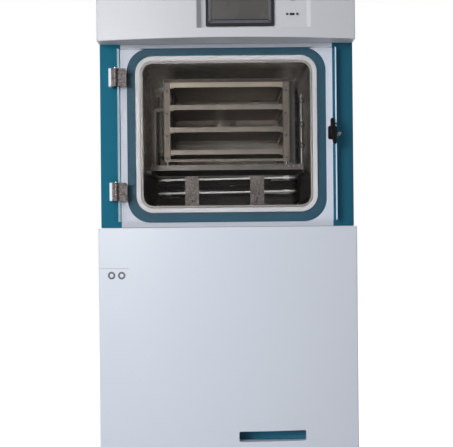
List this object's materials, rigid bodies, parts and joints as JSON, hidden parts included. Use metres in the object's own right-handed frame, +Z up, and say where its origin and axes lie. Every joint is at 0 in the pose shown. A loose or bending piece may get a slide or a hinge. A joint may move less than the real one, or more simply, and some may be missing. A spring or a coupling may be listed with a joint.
{
  "type": "freeze dryer",
  "caption": "Floor-standing freeze dryer with bowed white covers, clear acrylic door, stainless shelf chamber and ice condenser coil.",
  "frame": {"origin": "on the floor, at the middle of the outline seen from above", "axes": "+X to the right of someone facing the door, -Y from the door towards them, +Z up"},
  "size_m": [0.78, 1.02, 1.66],
  "materials": {
    "cover_white": "satin pale blue-white paint",
    "teal_paint": "satin teal paint",
    "plate_grey": "satin light grey paint",
    "panel_white": "textured pale powder coat",
    "frame_grey": "powder coated steel",
    "stainless": "brushed stainless steel",
    "hinge_steel": "satin stainless steel",
    "chrome_bright": "bright plated steel",
    "clear_acrylic": "clear polished acrylic",
    "seal_white": "matt white silicone rubber",
    "foam": "closed-cell foam insulation",
    "hose_silicone": "translucent silicone hose",
    "latch_black": "black moulded nylon",
    "bezel_black": "dark grey moulded bezel with screen",
    "button_metal": "turned and polished",
    "socket_black": "black moulded plastic",
    "rubber_black": "black rubber",
    "compressor_black": "gloss black enamel",
    "copper": "drawn copper tube",
    "fin_aluminium": "mill finish",
    "wheel_grey": "grey rubber tread on a nylon hub",
    "zinc": "zinc plated steel",
    "valve_brass": "nickel plated brass",
    "lever_red": "dipped vinyl"
  },
  "bodies": {
    "cabinet": {"main_frame": "frame_grey", "left_side_panel": "panel_white", "right_side_panel": "panel_white", "rear_panel": "panel_white", "top_panel": "panel_white", "head_cover": "cover_white", "lower_backing_panel": "teal_paint", "cover_catches": "rubber_black", "front_plate": "plate_grey", "chamber_surround": "teal_paint", "left_front_post": "teal_paint", "right_front_post": "teal_paint", "vacuum_chamber": "stainless", "chamber_jacket": "foam", "door_gasket": "seal_white", "vacuum_port": "stainless", "shelf_rack": "stainless", "shelf_hoses": "hose_silicone", "probe_rail": "stainless", "baffle_plate": "stainless", "condenser_coil": "stainless", "coil_brackets": "stainless", "panel_screws": "zinc", "post_hinge_leaves": "hinge_steel", "hinge_pins": "chrome_bright", "striker_stud": "chrome_bright", "touchscreen": "bezel_black", "usb_socket": "socket_black", "button_collar": "button_metal", "compressor": "compressor_black", "fluid_heater": "hinge_steel", "condenser_radiator": "fin_aluminium", "fan_shroud": "frame_grey", "electrical_box": "frame_grey", "power_inlet": "socket_black", "refrigerant_pipes": "copper", "drain_pipe": "stainless", "drain_valve_body": "valve_brass", "castor_plates": "zinc", "rear_castor_brackets": "zinc", "levelling_feet": "zinc", "shelf_1": "stainless", "shelf_2": "stainless", "shelf_3": "stainless", "shelf_4": "stainless"},
    "door": {"door_pane": "clear_acrylic", "door_hinge_leaves": "hinge_steel", "latch_housing": "latch_black"},
    "latch": {"latch_handle": "latch_black", "latch_cam": "latch_black"},
    "power_button": {"power_button": "button_metal"},
    "lower_cover": {"lower_front_cover": "cover_white"},
    "fan": {"fan_rotor": "socket_black"},
    "drain_lever": {"drain_valve_lever": "lever_red"},
    "front_left_swivel": {"front_left_fork": "zinc"},
    "front_right_swivel": {"front_right_fork": "zinc"},
    "front_left_roller": {"front_left_wheel": "wheel_grey"},
    "front_right_roller": {"front_right_wheel": "wheel_grey"},
    "rear_left_roller": {"rear_left_wheel": "wheel_grey"},
    "rear_right_roller": {"rear_right_wheel": "wheel_grey"}
  },
  "joints": [
    {"name": "door_swing", "type": "hinge", "parent": "cabinet", "child": "door", "pos_m": [-0.337, -0.446, 1.108], "axis": [0, 0, -1], "range_deg": [0, 120]},
    {"name": "latch_turn", "type": "hinge", "parent": "door", "child": "latch", "pos_m": [0.323, -0.4375, 1.111], "axis": [0, 1, 0], "range_deg": [0, 90]},
    {"name": "button_press", "type": "slide", "parent": "cabinet", "child": "power_button", "axis": [0, 1, 0], "range_m": [0, 0.003], "stiffness_N_per_m": 800},
    {"name": "lower_cover_pull", "type": "slide", "parent": "cabinet", "child": "lower_cover", "axis": [0, -1, 0], "range_m": [0, 0.15]},
    {"name": "fan_spin", "type": "hinge", "parent": "cabinet", "child": "fan", "pos_m": [0, 0.32, 0.35], "axis": [0, 1, 0], "continuous": true},
    {"name": "drain_lever_turn", "type": "hinge", "parent": "cabinet", "child": "drain_lever", "pos_m": [0.12, 0.4705, 0.765], "axis": [0, 0, 1], "range_deg": [0, 90]},
    {"name": "front_left_castor_swivel", "type": "hinge", "parent": "cabinet", "child": "front_left_swivel", "pos_m": [-0.3, -0.3, 0.0967], "axis": [0, 0, 1], "continuous": true},
    {"name": "front_left_wheel_roll", "type": "hinge", "parent": "front_left_swivel", "child": "front_left_roller", "pos_m": [-0.3, -0.272, 0.0405], "axis": [1, 0, 0], "continuous": true},
    {"name": "rear_left_wheel_roll", "type": "hinge", "parent": "cabinet", "child": "rear_left_roller", "pos_m": [-0.3, 0.35, 0.0405], "axis": [1, 0, 0], "continuous": true},
    {"name": "front_right_castor_swivel", "type": "hinge", "parent": "cabinet", "child": "front_right_swivel", "pos_m": [0.3, -0.3, 0.0967], "axis": [0, 0, 1], "continuous": true},
    {"name": "front_right_wheel_roll", "type": "hinge", "parent": "front_right_swivel", "child": "front_right_roller", "pos_m": [0.3, -0.272, 0.0405], "axis": [1, 0, 0], "continuous": true},
    {"name": "rear_right_wheel_roll", "type": "hinge", "parent": "cabinet", "child": "rear_right_roller", "pos_m": [0.3, 0.35, 0.0405], "axis": [1, 0, 0], "continuous": true}
  ]
}
